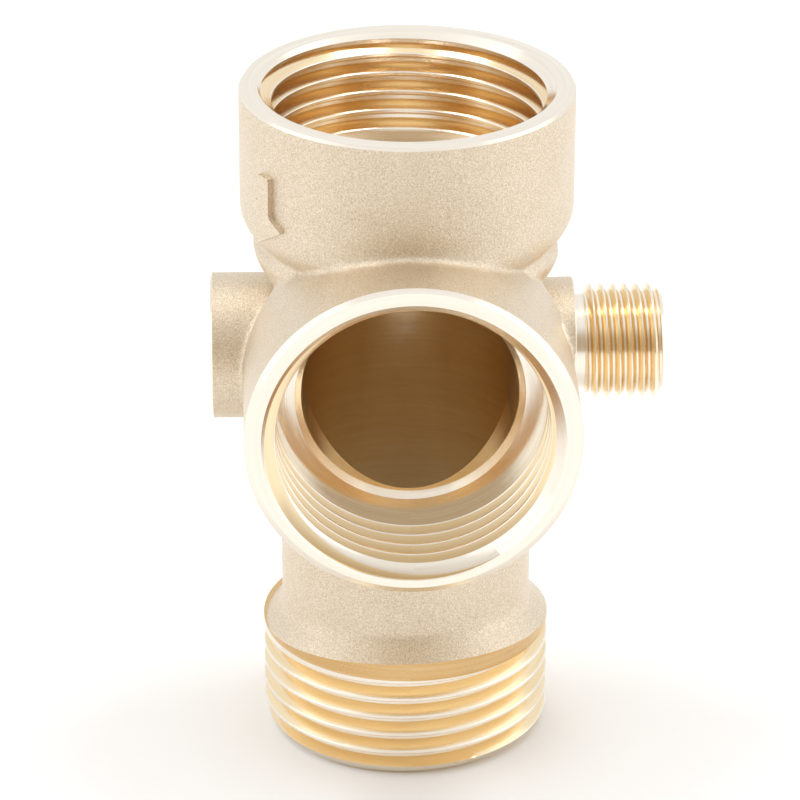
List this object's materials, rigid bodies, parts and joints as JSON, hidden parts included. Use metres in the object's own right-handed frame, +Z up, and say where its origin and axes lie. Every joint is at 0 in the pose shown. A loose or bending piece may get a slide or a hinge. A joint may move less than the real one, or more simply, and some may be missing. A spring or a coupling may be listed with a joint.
{
  "type": "five-way pump fitting",
  "caption": "One-piece forged brass pump fitting: straight threaded passage with a threaded front branch, a gauge port and a threaded nipple for a pressure switch.",
  "frame": {"origin": "centre of the bottom face of the lower spigot", "axes": "+Z up the main passage, -Y along the front branch, -X along the gauge port, +X along the switch nipple"},
  "size_m": [0.0514, 0.0452, 0.0794],
  "materials": {
    "forged_brass": "fine blasted forging skin",
    "turned_brass": "bright turned"
  },
  "bodies": {
    "root": {"upper_socket": "forged_brass", "front_branch": "forged_brass", "barrel": "forged_brass", "gauge_boss": "forged_brass", "switch_boss": "forged_brass", "switch_nipple": "turned_brass", "lower_neck": "forged_brass", "lower_spigot": "turned_brass", "flow_arrow": "forged_brass"}
  },
  "joints": []
}
